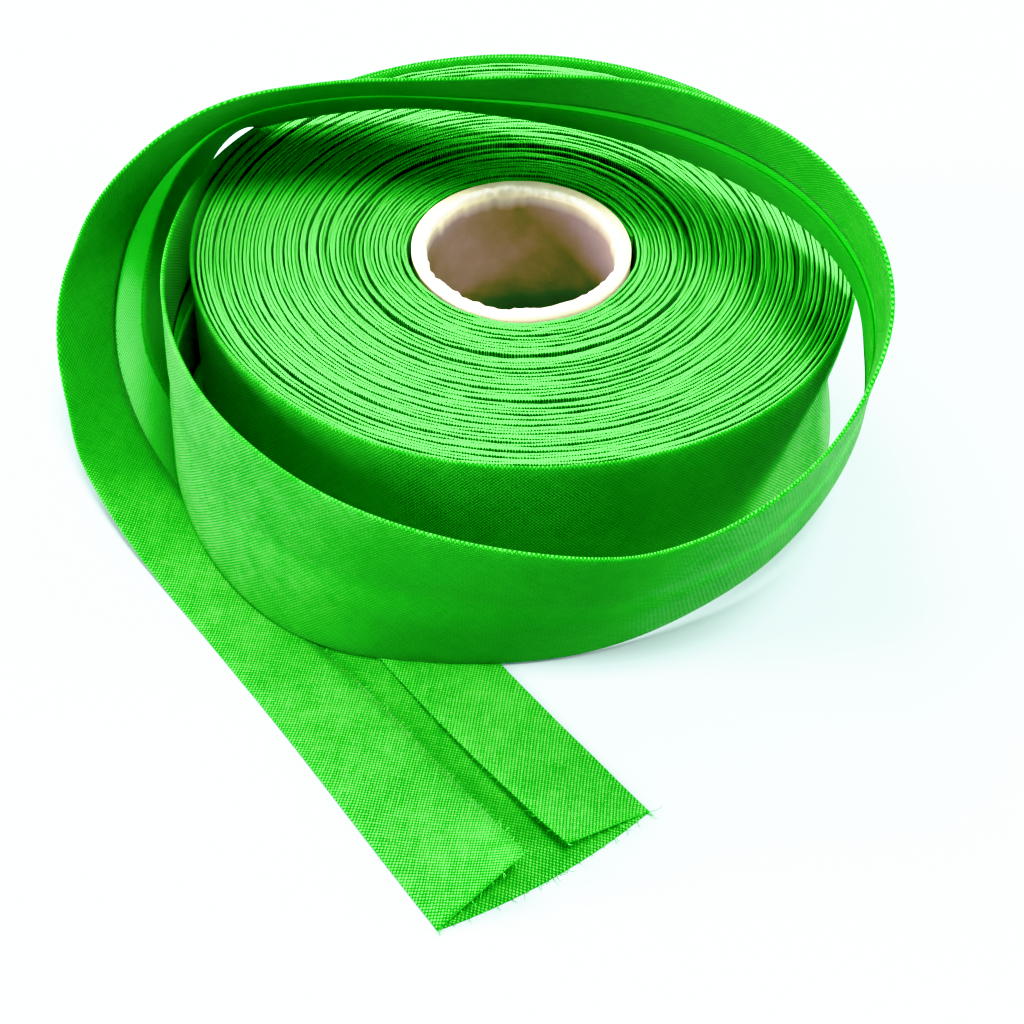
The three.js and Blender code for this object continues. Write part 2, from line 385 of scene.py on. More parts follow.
def make_turns_tree(material):
    n, given, result = new_group("wound_turns", "GeometryNodeTree", [
        ("Turns", "NodeSocketFloat", float(TURNS)),
        ("Points", "NodeSocketInt", TURNS * STEPS_PER_TURN),
        ("Start Radius", "NodeSocketFloat", START_RADIUS),
        ("End Radius", "NodeSocketFloat", LAST_RADIUS),
        ("End Angle", "NodeSocketFloat", math.radians(LAST_ANGLE)),
        ("Thickness", "NodeSocketFloat", TURN_THICKNESS),
        ("Height", "NodeSocketFloat", TURN_HEIGHT),
        ("Unevenness", "NodeSocketFloat", 1.0),
        ("Seed", "NodeSocketFloat", 4.0),
    ], [("Geometry", "NodeSocketGeometry")])
    line = n.add("GeometryNodeCurvePrimitiveLine").outputs[0]
    points = n.add("GeometryNodeResampleCurve", {"Curve": line, "Count": given["Points"]})
    factor = n.add("GeometryNodeSplineParameter").outputs["Factor"]
    turn = n.math("MULTIPLY", factor, given["Turns"])
    angle = n.math("ADD", given["End Angle"],
                   n.math("MULTIPLY", n.math("SUBTRACT", turn, given["Turns"]), 2 * math.pi))
    cosine, sine = n.math("COSINE", angle), n.math("SINE", angle)
    whole_turn = n.math("ADD", turn, given["Seed"])
    # Noise that is the same all through a turn, and noise that drifts round it.
    by_turn = n.noise(n.combine(n.math("MULTIPLY", whole_turn, 0.55), 0.0, 0.0), 1.0, 3.0, 0.7)
    drift = n.noise(n.combine(n.math("MULTIPLY", cosine, 1.3), n.math("MULTIPLY", sine, 1.3),
                              n.math("MULTIPLY", whole_turn, 0.9)), 1.0, 2.0)
    ripple = n.noise(n.combine(n.math("MULTIPLY", cosine, 9.0), n.math("MULTIPLY", sine, 9.0),
                               n.math("MULTIPLY", whole_turn, 1.7)), 1.0, 1.0)
    radius = n.math("ADD", given["Start Radius"], n.math("MULTIPLY", factor, n.math(
        "SUBTRACT", given["End Radius"], given["Start Radius"])))
    shove = n.math("MULTIPLY", given["Unevenness"], n.math(
        "ADD", n.spread(drift, 0.3, 0.7, -0.16, 0.16), n.spread(ripple, 0.3, 0.7, -0.05, 0.05)))
    slack = n.math("POWER", n.math("MAXIMUM", 0.0, n.math("COSINE", n.math(
        "SUBTRACT", angle, math.radians(SLACK_BEARING)))), SLACK_POWER)
    loosening = n.math("MULTIPLY", slack, n.spread(radius, PINCH_FROM, LAST_RADIUS, 0.0, SLACK))
    radius = n.math("ADD", n.math("ADD", radius, loosening), shove)
    # How far each turn stands up: few turns stand low, and those near the core lie lower.
    low_turn = n.spread(by_turn, 0.36, 0.46, -LOW_TURN_DROP, 0.0)
    near_core = n.math("ADD", n.spread(turn, 0.0, CORE_DROP_TURNS, -CORE_DROP, 0.0),
                       n.spread(n.math("ABSOLUTE", n.math("SUBTRACT", turn, GROOVE_TURN)),
                                0.35, 0.75, -GROOVE_DEPTH, 0.0))
    top = n.math("ADD", n.math("ADD", low_turn, near_core), n.math(
        "ADD", n.spread(drift, 0.3, 0.7, -0.25, 0.25), n.spread(ripple, 0.3, 0.7, -0.09, 0.09)))
    place = n.combine(n.math("MULTIPLY", radius, cosine), n.math("MULTIPLY", radius, sine), 0.0)
    bearing = math.radians(RELIEF_BEARING)
    beside = n.vector("DOT_PRODUCT", place, (math.cos(bearing), math.sin(bearing), 0.0))
    ride_up = n.spread(beside, RELIEF_DISTANCE - 1, RELIEF_DISTANCE, 0.0, RIDE_UP)
    bottom = n.math("ADD", ride_up, n.spread(ripple, 0.3, 0.7, 0.0, 0.2))
    spiral = n.add("GeometryNodeSetPosition", {"Geometry": points.outputs[0], "Position": place})
    upright = n.add("GeometryNodeSetCurveNormal", {"Curve": spiral.outputs[0]}, mode="Z_UP")
    kept = n.add("GeometryNodeCaptureAttribute", {"Geometry": upright.outputs[0]})
    for label, value in (("Top", top), ("Bottom", bottom), ("Along", n.add(
            "GeometryNodeSplineParameter").outputs["Length"])):
        kept.capture_items.new("FLOAT", label)
        n.tree.links.new(value, kept.inputs[label])
    # The slab's outline: twelve points of a circle, five moved to each round end and one left
    # in the middle of each side.
    ring = n.add("GeometryNodeCurvePrimitiveCircle", {"Resolution": 12, "Radius": 1.0})
    ring_x, ring_y, _ = n.separate(n.add("GeometryNodeInputPosition").outputs[0])
    half_thick = n.math("MULTIPLY", given["Thickness"], 0.5)
    bow = n.spread(n.math("ABSOLUTE", n.math("ARCTAN2", ring_y, ring_x)),
                   math.pi / 6, math.pi * 5 / 6, 0.0, math.pi)
    end = n.math("SUBTRACT", n.math("MULTIPLY", given["Height"], 0.5), half_thick)
    rise = n.math("MULTIPLY_ADD", n.math("SINE", bow), half_thick, end)
    is_end = n.math("GREATER_THAN", n.math("ABSOLUTE", ring_y), 0.1)
    outline = n.combine(n.math("MULTIPLY", n.math("COSINE", bow), half_thick), n.math(
        "MULTIPLY", n.math("MULTIPLY", rise, is_end), n.math("SIGN", ring_y)), 0.0)
    rounded = n.add("GeometryNodeSetPosition", {"Geometry": ring.outputs[0], "Position": outline})
    around = n.add("GeometryNodeCaptureAttribute", {"Geometry": rounded.outputs[0]})
    for label, value in (
            ("Around", n.add("GeometryNodeSplineParameter").outputs["Length"]),
            ("Across", n.math("DIVIDE", n.separate(
                n.add("GeometryNodeInputPosition").outputs[0])[0], half_thick))):
        around.capture_items.new("FLOAT", label)
        n.tree.links.new(value, around.inputs[label])
    slab = n.add("GeometryNodeCurveToMesh", {
        "Curve": kept.outputs["Geometry"], "Profile Curve": around.outputs["Geometry"],
        "Fill Caps": True})
    position = n.add("GeometryNodeInputPosition").outputs[0]
    x, y, z = n.separate(position)
    above = n.math("GREATER_THAN", z, 0.1)
    below = n.math("LESS_THAN", z, -0.1)
    shift = n.math("ADD", n.math("MULTIPLY", above, kept.outputs["Top"]), n.math(
        "MULTIPLY", below, kept.outputs["Bottom"]))
    half = n.math("MULTIPLY", given["Height"], 0.5)
    # The tape is thinner along its middle, so the outer turns are drawn in at half height.
    waist = n.math("SUBTRACT", 1.0, n.math("ADD", above, below))
    facing = n.math("MAXIMUM", 0.0, n.math("COSINE", n.math(
        "SUBTRACT", n.math("ARCTAN2", y, x), math.radians(PINCH_BEARING))))
    outer = n.spread(n.vector("LENGTH", n.combine(x, y, 0.0)), PINCH_FROM, LAST_RADIUS,
                     0.0, PINCH_DEPTH + PINCH_MORE)
    draw_in = n.math("MULTIPLY", n.math("MULTIPLY", waist, outer), n.math("POWER", facing, 2.0))
    sideways = n.vector("SCALE", n.vector("NORMALIZE", n.combine(x, y, 0.0)))
    n.tree.links.new(n.math("MULTIPLY", draw_in, -1.0), sideways.node.inputs["Scale"])
    offset = n.vector("ADD", sideways, n.combine(0.0, 0.0, n.math("ADD", shift, half)))
    moved = n.add("GeometryNodeSetPosition", {"Geometry": slab.outputs[0], "Offset": offset})
    strip = n.combine(kept.outputs["Along"], around.outputs["Around"], 0.0)
    stored = n.add("GeometryNodeStoreNamedAttribute", {
        "Geometry": moved.outputs[0], "Name": CLOTH_COORDINATES, "Value": strip},
        data_type="FLOAT2", domain="CORNER")
    stored = n.add("GeometryNodeStoreNamedAttribute", {
        "Geometry": stored.outputs[0], "Name": "across_turn", "Value": around.outputs["Across"]},
        data_type="FLOAT", domain="POINT")
    smooth = n.add("GeometryNodeSetShadeSmooth", {"Geometry": stored.outputs[0]})
    real = n.add("GeometryNodeRealizeInstances", {"Geometry": smooth.outputs[0]})
    finished = n.add("GeometryNodeSetMaterial", {
        "Geometry": real.outputs[0], "Material": material})
    n.tree.links.new(finished.outputs[0], result["Geometry"])
    return n.tree


def mesh_from_tree(name, tree, start=None):
    """Runs a Geometry Nodes tree, on a mesh of points or on nothing, and keeps a plain mesh."""
    start = start or bpy.data.meshes.new(name + "_start")
    holder = add_object(name + "_maker", start)
    modifier = holder.modifiers.new(tree.name, "NODES")
    modifier.node_group = tree
    evaluated = holder.evaluated_get(bpy.context.evaluated_depsgraph_get())
    mesh = bpy.data.meshes.new_from_object(evaluated)
    mesh.name = name
    holder.modifiers.remove(modifier)
    bpy.data.objects.remove(holder)
    mesh.transform(Matrix.Translation(AXIS) @ Matrix.Scale(MM, 4))
    return add_object(name, mesh)


def triangles(piece):
    piece.data.calc_loop_triangles()
    return len(piece.data.loop_triangles)


wound_turns = mesh_from_tree("wound_turns", make_turns_tree(wound_cloth))
print("wound turns:", triangles(wound_turns), "triangles", wound_turns.dimensions / MM)
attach(wound_turns, "root")
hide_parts("winding")

# %% [markdown]
# ## The loose tape
# The last turn comes off the roll and is the piece that everyone looks at, so it is a real
# folded strip: two stiff double leaves, each a base and a flap with a round fold between them,
# and one soft layer along the middle where the tape bends. Its route is given as a short
# table. Each row gives a place of the bend line and how far the two leaves lean out from
# upright. A second table says how the flaps change towards the cut end. Everything between the
# rows is a smooth curve.

# %% Route of the loose tape
ROUTE = np.array([
    # x,    y,     z,  upper, lower
    (26.4, 37.7, 15.0, 0, 0),
    (0.0, 46.1, 15.0, 0, 0),
    (-26.5, 37.8, 15.1, 0, 0),
    (-39.3, 24.5, 15.4, 0, 0),
    (-44.0, 15.1, 16.4, 0, 0),
    (-46.6, 6.5, 17.6, -1, -1),
    (-48.2, -2.5, 18.2, -2, -2),
    (-48.6, -11.2, 17.6, -2, -2),
    (-47.2, -20.0, 16.8, -2, -2),
    (-44.4, -27.9, 16.2, -2, -2),
    (-38.9, -37.5, 15.8, -2, -2),
    (-27.8, -48.5, 15.6, 0, 0),
    (-14.3, -54.0, 15.3, 8, 8),
    (0.0, -55.8, 14.8, 14, 16),
    (12.4, -54.6, 14.6, 18, 22),
    (23.0, -51.8, 17.1, 21, 26),
    (32.0, -48.0, 21.4, 20, 24),
    (39.0, -42.4, 26.6, 16, 18),
    (43.5, -36.2, 33.2, 8, 8),
    (45.2, -28.5, 40.1, -4, -4),
    (42.0, -18.0, 45.0, -21, -21),
    (34.0, -5.8, 46.4, -31, -31),
    (24.5, 2.7, 46.2, -36, -36),
    (14.7, 8.4, 45.5, -40, -40),
    (4.0, 12.0, 44.8, -44, -44),
    (-8.0, 14.2, 44.0, -48, -48),
    (-20.0, 15.6, 43.2, -50, -49),
    (-31.0, 15.2, 42.2, -50, -46),
    (-40.4, 13.0, 40.6, -48, -45),
    (-47.2, 11.8, 35.8, -49, -54),
    (-52.4, 10.4, 28.8, -36, -42),
    (-56.0, 7.0, 20.0, 5, 1),
    (-56.5, -0.4, 11.4, 37, 25),
    (-54.4, -5.0, 5.4, 60, 58),
    (-49.7, -11.0, 1.2, 73, 84),
    (-41.6, -21.6, 0.0, 83, 90),
    (-31.8, -33.5, 0.0, 90, 90),
    (-16.5, -53.0, 0.0, 90, 90),
    (-5.7, -68.3, 0.0, 90, 90),
    (5.1, -83.6, 0.0, 90, 90),
])

# Towards its cut end the tape was folded less evenly and its flaps spring open.
END_SHAPE = np.array([
    # before the cut end, upper leaf, upper flap, lower leaf, upper opening, lower opening,
    # lower flap
    (165.0, 15.4, 13.3, 14.6, 1, 1, 12.5),
    (140.0, 15.4, 12.6, 14.6, 3, 1, 11.4),
    (120.0, 15.4, 11.2, 14.6, 4, 1, 10.8),
    (80.0, 15.6, 10.7, 13.8, 2, 1, 11.2),
    (46.0, 16.1, 11.0, 13.1, 1, 1, 12.3),
    (37.0, 16.1, 12.0, 13.1, 1, 2, 12.5),
    (28.0, 16.0, 12.7, 13.3, 2, 4, 12.5),
    (18.0, 15.8, 13.2, 14.0, 3, 6, 12.5),
    (11.0, 15.7, 13.3, 14.6, 8, 8, 12.5),
    (5.0, 15.6, 13.3, 15.0, 17, 10, 12.5),
    (0.0, 15.5, 13.3, 15.4, 26, 13, 12.5),
])
LAST_TURN_STEPS = 12
LAST_TURN_INSET, LAST_TURN_GROWTH = 0.15, 0.6
HALF_HEIGHT = 15.0      # of the bend line, above the floor
STATION_PITCH = 1.0
LEAF_REACH, MIDDLE_REACH = 9, 4     # stations over which the directions are averaged


def last_turn_rows():
    """The outermost tight turn, from where the wound spiral ends to the first row above."""
    rows = []
    reach = 360 + math.degrees(math.atan2(ROUTE[0][1], ROUTE[0][0]))
    for angle in np.linspace(LAST_ANGLE, reach, LAST_TURN_STEPS, endpoint=False):
        share = (angle - LAST_ANGLE) / (reach - LAST_ANGLE)
        slack = SLACK * math.exp(-((angle - SLACK_BEARING) / SLACK_WIDTH) ** 2)
        radius = ROLL_RADIUS - LAST_TURN_INSET + LAST_TURN_GROWTH * share + slack
        turn = math.radians(angle)
        rows.append((radius * math.cos(turn), radius * math.sin(turn), HALF_HEIGHT, 0, 0))
    return np.array(rows)


def spline(knots, values, at):
    """Natural cubic curve through the values, one column each, read at other places."""
    step = np.diff(knots)
    count = len(knots)
    system = np.eye(count)
    right = np.zeros_like(values)
    for i in range(1, count - 1):
        system[i, i - 1:i + 2] = step[i - 1], 2 * (step[i - 1] + step[i]), step[i]
        right[i] = 6 * ((values[i + 1] - values[i]) / step[i]
                        - (values[i] - values[i - 1]) / step[i - 1])
    bend = np.linalg.solve(system, right)
    i = np.clip(np.searchsorted(knots, at, side="right") - 1, 0, count - 2)
    h, a, b = step[i][:, None], (knots[i + 1] - at)[:, None], (at - knots[i])[:, None]
    return ((bend[i] * a**3 + bend[i + 1] * b**3) / (6 * h)
            + (values[i] / h - bend[i] * h / 6) * a + (values[i + 1] / h - bend[i + 1] * h / 6) * b)


def softened(values, reach):
    """Running average along the first axis, with the ends held."""
    kernel = np.hanning(2 * reach + 3)[1:-1]
    padded = np.pad(values, ((reach, reach), (0, 0)), mode="edge")
    return np.stack([np.convolve(padded[:, c], kernel / kernel.sum(), mode="valid")
                     for c in range(values.shape[1])], axis=1)


def unit(vectors):
    return vectors / np.linalg.norm(vectors, axis=1, keepdims=True)


def tape_stations():
    """Evenly spaced places of the bend line, with the leaves' directions at each."""
    rows = np.concatenate([last_turn_rows(), ROUTE])
    knots = np.concatenate([[0], np.cumsum(np.sqrt(np.linalg.norm(np.diff(rows[:, :3], axis=0),
                                                                  axis=1)))])
    fine = np.linspace(0, knots[-1], 6000)
    line = spline(knots, rows[:, :3], fine)
    length = np.concatenate([[0], np.cumsum(np.linalg.norm(np.diff(line, axis=0), axis=1))])
    count = int(length[-1] / STATION_PITCH)
    along = np.linspace(0, length[-1], count)
    at = np.interp(along, length, fine)
    place = spline(knots, rows[:, :3], at)
    tangent = unit(np.gradient(place, axis=0))
    # The leaves' directions are found at the rows, and then run smoothly from row to row.
    row_tangent = tangent[np.abs(at[:, None] - knots).argmin(axis=0)]
    upright = unit(np.array([0, 0, 1.0]) - row_tangent * row_tangent[:, 2:3])
    outwards = np.cross(row_tangent, upright)
    leaves = []
    for column in (3, 4):
        lean = np.radians(rows[:, column:column + 1])
        leaf = spline(knots, np.cos(lean) * upright + np.sin(lean) * outwards, at)
        leaf = softened(leaf, LEAF_REACH)
        leaves.append(unit(leaf - tangent * np.sum(leaf * tangent, axis=1, keepdims=True)))
    middle = unit(softened(leaves[0] + leaves[1], MIDDLE_REACH))
    middle = unit(middle - tangent * np.sum(middle * tangent, axis=1, keepdims=True))
    inwards = np.cross(middle, tangent)
    angles = [np.arctan2(-np.sum(leaf * inwards, axis=1), np.sum(leaf * middle, axis=1))
              for leaf in leaves]
    return along, place, tangent, middle, inwards, angles


along, place, tangent, middle, inwards, leaf_angles = tape_stations()
print(f"loose tape and last turn: {along[-1]:.0f} mm, {len(along)} stations")

# %% [markdown]
# The section is drawn once for each station, flat on paper: from the raw edge of the upper flap,
# round the upper fold, down the base to the lower fold and back along the lower flap. Every
# point knows how far it is across the flat strip, which becomes its weave coordinate. Moving
# that line half a thickness to each side gives the cloth its body.

# %% Section of the folded strip
FLAP_POINTS = 9
FOLD_POINTS = 5
LEAF_POINTS = 8
BAND_POINTS = 5
TIGHT_LENGTH, TIGHT_FADE = 350.0, 30.0      # as much of the tape lies against the roll
FREE_FROM = 330         # and from here on it has its own fibres and sunk middle
SINK = 0.28             # how far the single layer sinks between the raw edges
END_BOW, BOW_LENGTH = 1.4, 8


def half_section(leaf, flap, angle, opening, sink, side):
    """One leaf with its fold and flap, from the bend line to the flap's raw edge, for every
    station. Returns the height along the middle direction, the depth to the outside, and the
    coordinate across the flat strip."""
    radius = LAYER_PITCH / 2
    leaf, flap, angle, opening, sink = (
        v[:, None] for v in (leaf, flap, angle, opening, sink))
    reach = np.concatenate([
        np.broadcast_to(np.linspace(0, BAND_HALF, BAND_POINTS), (len(leaf), BAND_POINTS)),
        BAND_HALF + (leaf - radius - BAND_HALF) * np.linspace(0, 1, LEAF_POINTS)[1:]], axis=1)
    bend = np.clip(reach / (1.4 * BAND_HALF), 0, 1)
    turn = angle * bend * bend * (3 - 2 * bend)
    step = np.diff(reach, axis=1, prepend=0)
    up, out = np.cumsum(np.cos(turn) * step, axis=1), np.cumsum(np.sin(turn) * step, axis=1)
    # Between the raw edges the single layer sinks a little, with a soft ridge at each side.
    ease = np.clip((reach - 0.8) / 3.0, 0, 1)
    out = out - sink * (1 - ease * ease * (3 - 2 * ease))
    # Directions at the end of the leaf, as pairs of up and out: onwards, and to the flap.
    onwards, to_flap = (np.cos(angle), np.sin(angle)), (side * np.sin(angle), -np.cos(angle) * side)
    fold = np.linspace(0, math.pi, FOLD_POINTS)[1:]
    run = flap * np.linspace(0, 1, FLAP_POINTS)[1:]
    line = []
    for base, ahead, back in zip((up, out), onwards, to_flap):
        curl = base[:, -1:] + radius * (np.sin(fold) * ahead + (1 - np.cos(fold)) * back)
        lifted = np.sin(opening) * back - np.cos(opening) * ahead
        line.append(side * np.concatenate([base, curl, curl[:, -1:] + run * lifted], axis=1))
    strip = np.concatenate([reach, leaf + radius * (fold - math.pi / 2), leaf + run], axis=1)
    return line[0], line[1], side * strip


def drawn_in(points):
    """The tight turn follows the waist of the roll under it."""
    bearing = np.arctan2(points[:, :, 1], points[:, :, 0])
    facing = np.cos(bearing - math.radians(PINCH_BEARING)).clip(0) ** 2
    waist = np.sin(math.pi * (points[:, :, 2] / ROLL_HEIGHT).clip(0, 1)) ** 2
    tight = np.clip((TIGHT_LENGTH - along) / TIGHT_FADE, 0, 1)[:, None]
    shrink = PINCH_DEPTH * facing * waist * tight
    reach = np.linalg.norm(points[:, :, :2], axis=2)
    points[:, :, :2] *= (1 - shrink / reach)[:, :, None]
    return points


def tape_mesh():
    before_end = along[-1] - along
    upper_leaf, upper_flap, lower_leaf, upper_open, lower_open, lower_flap = (
        np.interp(before_end, END_SHAPE[::-1, 0], column) for column in END_SHAPE[::-1, 1:].T)
    sink = SINK * np.clip((along - FREE_FROM) / 60, 0, 1) * np.clip((before_end - 90) / 40, 0, 1)
    upper = half_section(upper_leaf, upper_flap, leaf_angles[0], np.radians(upper_open), sink, 1)
    lower = half_section(lower_leaf, lower_flap, leaf_angles[1], np.radians(lower_open), -sink, -1)
    up, out, strip = (np.concatenate([u[:, ::-1], v[:, 1:]], axis=1)
                      for u, v in zip(upper, lower))
    # Directions across the strip, and half a thickness to both sides of the line.
    step_up, step_out = np.gradient(up, axis=1), np.gradient(out, axis=1)
    size = np.hypot(step_up, step_out)
    side_up, side_out = -step_out / size * CLOTH / 2, step_up / size * CLOTH / 2
    rings_up = np.concatenate([up + side_up, (up - side_up)[:, ::-1]], axis=1)
    rings_out = np.concatenate([out + side_out, (out - side_out)[:, ::-1]], axis=1)
    points = (place[:, None, :] + rings_up[:, :, None] * middle[:, None, :]
              - (rings_out[:, :, None] - CLOTH / 2) * inwards[:, None, :])
    ring_strip = np.concatenate([strip, strip[:, ::-1]], axis=1)
    # The cut end bows out a little, and nothing goes under the surface that it lies on.
    bow = END_BOW * (1 - (ring_strip / UPPER_LEAF) ** 2).clip(0)
    fade = np.clip(1 - before_end / BOW_LENGTH, 0, 1)[:, None] ** 2
    points += tangent[:, None, :] * (fade * bow)[:, :, None]
    points[:, :, 2] = points[:, :, 2].clip(0.02)
    raw_edge = np.where(ring_strip > 0, (upper_leaf - upper_flap)[:, None],
                        (lower_leaf - lower_flap)[:, None])
    # Painted backlight: the single layer is painted paler where the tape runs down with nothing
    # behind it, most on the side of the flaps, which is the first half of each ring.
    painted_light = np.clip((before_end - 75) / 30, 0, 1) * np.clip((215 - before_end) / 40, 0, 1)
    flap_side = np.repeat([1.0, 0.2], ring_strip.shape[1] // 2)
    return drawn_in(points), ring_strip, raw_edge, painted_light[:, None] * flap_side


def ring_faces(here, onwards):
    """The faces between closed rings of numbered points and the rings that follow them."""
    return np.stack([here, np.roll(here, -1, 1), np.roll(onwards, -1, 1), onwards], axis=2)


def store(mesh, label, values, kind="FLOAT", field="value"):
    """Keeps one value for each point of the mesh, under a name that a node tree can read."""
    mesh.attributes.new(label, kind, "POINT").data.foreach_set(
        field, np.asarray(values, dtype=np.float32).ravel())


def build_tape():
    points, ring_strip, raw_edge, painted_backlight = tape_mesh()
    stations, ring = points.shape[:2]
    number = np.arange(stations * ring).reshape(stations, ring)
    faces = ring_faces(number[:-1], number[1:])
    half = ring // 2
    caps = []
    for row, turn in ((number[0], 1), (number[-1], -1)):
        first, second = row[:half], row[half:][::-1]
        cap = np.stack([first[:-1], second[:-1], second[1:], first[1:]], axis=1)
        caps.append(cap[:, ::turn])
    faces = np.concatenate([faces.reshape(-1, 4)] + caps)
    mesh = bpy.data.meshes.new("loose_tape")
    mesh.from_pydata((points.reshape(-1, 3) * MM + np.array(AXIS)).tolist(), [], faces.tolist())
    lengths = np.repeat(along, ring)
    crosswise = ring_strip.ravel()
    corner = np.empty(len(mesh.loops), dtype=np.int32)
    mesh.loops.foreach_get("vertex_index", corner)
    layer = mesh.uv_layers.new(name=CLOTH_COORDINATES)
    flat = np.stack([lengths[corner], crosswise[corner]], axis=1).astype(np.float32)
    layer.data.foreach_set("uv", flat.ravel())
    store(mesh, "raw_edge", raw_edge)
    store(mesh, "painted_backlight", painted_backlight)
    mesh.polygons.foreach_set("use_smooth", np.ones(len(mesh.polygons), dtype=bool))
    mesh.materials.append(loose_cloth)
    mesh.validate()
    return add_object("loose_tape", mesh)


loose_tape = build_tape()
print("loose tape:", triangles(loose_tape), "triangles")
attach(loose_tape, "root")
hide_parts("tape")

# %% [markdown]
# ## Fibres
# Cut cotton is never clean. Short fibres stand out of the cut end and the raw edges of the
# flaps, a few lie along the pressed folds, and some longer threads hang loose at the corners.
# Each is one small bent hair. A mesh of points says where they root, which way they point and
# how long they are, and Geometry Nodes put a hair on each point.

# %% One hair on every point
HAIR_RADIUS = 0.035


def make_hairs_tree(material):
    n, given, result = new_group("cotton_hairs", "GeometryNodeTree", [
        ("Geometry", "NodeSocketGeometry", None),
        ("Radius", "NodeSocketFloat", HAIR_RADIUS),
        ("Bend", "NodeSocketFloat", 0.35),
        ("Seed", "NodeSocketInt", 3),
    ], [("Geometry", "NodeSocketGeometry")])
    stem = n.add("GeometryNodeCurvePrimitiveBezierSegment", {
        "Resolution": 4, "Start": (0, 0, 0), "Start Handle": (0, 0, 0.4),
        "End Handle": n.combine(given["Bend"], 0.0, 0.7), "End": n.combine(
            given["Bend"], n.math("MULTIPLY", given["Bend"], 0.6), 1.0)})
    length = n.add("GeometryNodeInputNamedAttribute", {"Name": "hair_length"},
                   data_type="FLOAT").outputs[0]
    lean = n.add("GeometryNodeInputNamedAttribute", {"Name": "hair_lean"},
                 data_type="FLOAT_VECTOR").outputs[0]
    aim = n.add("FunctionNodeAlignRotationToVector", {"Vector": lean}, axis="Z").outputs[0]
    spin = n.add("FunctionNodeRandomValue", {
        "Min": (0, 0, 0), "Max": (0, 0, 6.28), "Seed": given["Seed"]}, data_type="FLOAT_VECTOR")
    turned = n.add("FunctionNodeRotateRotation", {
        "Rotation": aim, "Rotate By": spin.outputs[0]}, rotation_space="LOCAL").outputs[0]
    placed = n.add("GeometryNodeInstanceOnPoints", {
        "Points": given["Geometry"], "Instance": stem.outputs[0], "Rotation": turned,
        "Scale": n.combine(length, length, length)})
    curves = n.add("GeometryNodeRealizeInstances", {"Geometry": placed.outputs[0]})
    section = n.add("GeometryNodeCurvePrimitiveCircle", {
        "Resolution": 3, "Radius": given["Radius"]})
    hairs = n.add("GeometryNodeCurveToMesh", {
        "Curve": curves.outputs[0], "Profile Curve": section.outputs[0], "Fill Caps": True})
    real = n.add("GeometryNodeRealizeInstances", {"Geometry": hairs.outputs[0]})
    finished = n.add("GeometryNodeSetMaterial", {
        "Geometry": real.outputs[0], "Material": material})
    n.tree.links.new(finished.outputs[0], result["Geometry"])
    return n.tree


def plain_material(name, roughness, specular):
    """A material with one surface, whose colour is left to the caller."""
    material = bpy.data.materials.new(name)
    material.use_nodes = True
    surface = material.node_tree.nodes["Principled BSDF"].inputs
    surface["Roughness"].default_value = roughness
    surface["Specular IOR Level"].default_value = specular
    return material, Nodes(material.node_tree), surface


def make_hair_cotton():
    material, n, surface = plain_material("hair_cotton", 0.8, 0.15)
    place = n.add("ShaderNodeTexCoord").outputs["Object"]
    shade = n.blend(n.spread(n.noise(place, 700.0), 0.35, 0.65), SHADE_BODY, SHADE_TIP)
    n.tree.links.new(shade, surface["Base Color"])
    return material


# %% Where the hairs root
SECTION_POINTS = 2 * (FLAP_POINTS + FOLD_POINTS + LEAF_POINTS + BAND_POINTS - 3) - 1
UPPER_RAW, LOWER_RAW = 0, SECTION_POINTS - 1
UPPER_FOLD, LOWER_FOLD = FLAP_POINTS + 1, SECTION_POINTS - FLAP_POINTS - 2
TAIL_LENGTH = 150
LONG_THREADS = (     # stations before the cut end, point of the section, lean, length
    (0, LOWER_FOLD, (1.0, 0.25, 0.35), 1.9), (0, LOWER_FOLD, (0.5, -0.8, 0.1), 1.3),
    (0, SECTION_POINTS // 2, (0.5, -0.9, 0.05), 1.6), (0, UPPER_RAW, (0.6, -0.1, 0.6), 1.2),
    (0, UPPER_FOLD, (-0.5, -0.8, 0.1), 1.2), (6, LOWER_RAW, (-0.8, -0.3, 0.5), 1.6),
    (420, UPPER_FOLD, (-0.3, -0.2, 0.9), 1.3), (415, UPPER_FOLD, (0.4, 0.3, 0.8), 1.1),
)


def hair_roots():
    dice = np.random.default_rng(12)
    points = tape_mesh()[0]
    roots, leans, lengths = [], [], []

    def root(station, point, lean, length, spread=0.5):
        roots.append(points[station, point])
        leans.append(np.asarray(lean) + dice.normal(0, spread, 3))
        lengths.append(length)

    for point in range(SECTION_POINTS):
        for _ in range(2):
            root(-1, point, tangent[-1] + (0, 0, 0.1), dice.uniform(0.25, 0.9), 0.35)
    for station in range(-TAIL_LENGTH, -1):
        for edge, inner in ((UPPER_RAW, UPPER_RAW + 2), (LOWER_RAW, LOWER_RAW - 2)):
            beyond = points[station, edge] - points[station, inner]
            beyond /= np.linalg.norm(beyond)
            root(station, edge, beyond + (0, 0, 0.25), dice.uniform(0.2, 0.75))
    for station in range(FREE_FROM, len(along), 2):
        for fold in (UPPER_FOLD, LOWER_FOLD):
            away = points[station, fold] - place[station]
            root(station, fold, away / np.linalg.norm(away), dice.uniform(0.12, 0.4), 0.6)
    for before, point, lean, length in LONG_THREADS:
        root(-1 - before, point, lean, length, 0.05)
    mesh = bpy.data.meshes.new("hair_roots")
    mesh.from_pydata(np.array(roots).tolist(), [], [])
    store(mesh, "hair_length", lengths)
    store(mesh, "hair_lean", leans, "FLOAT_VECTOR", "vector")
    return mesh


cotton_hairs = mesh_from_tree("cotton_hairs", make_hairs_tree(make_hair_cotton()), hair_roots())
for vertex in cotton_hairs.data.vertices:
    vertex.co.z = max(vertex.co.z, 0.01 * MM)
print("cotton hairs:", triangles(cotton_hairs), "triangles")
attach(cotton_hairs, "root")

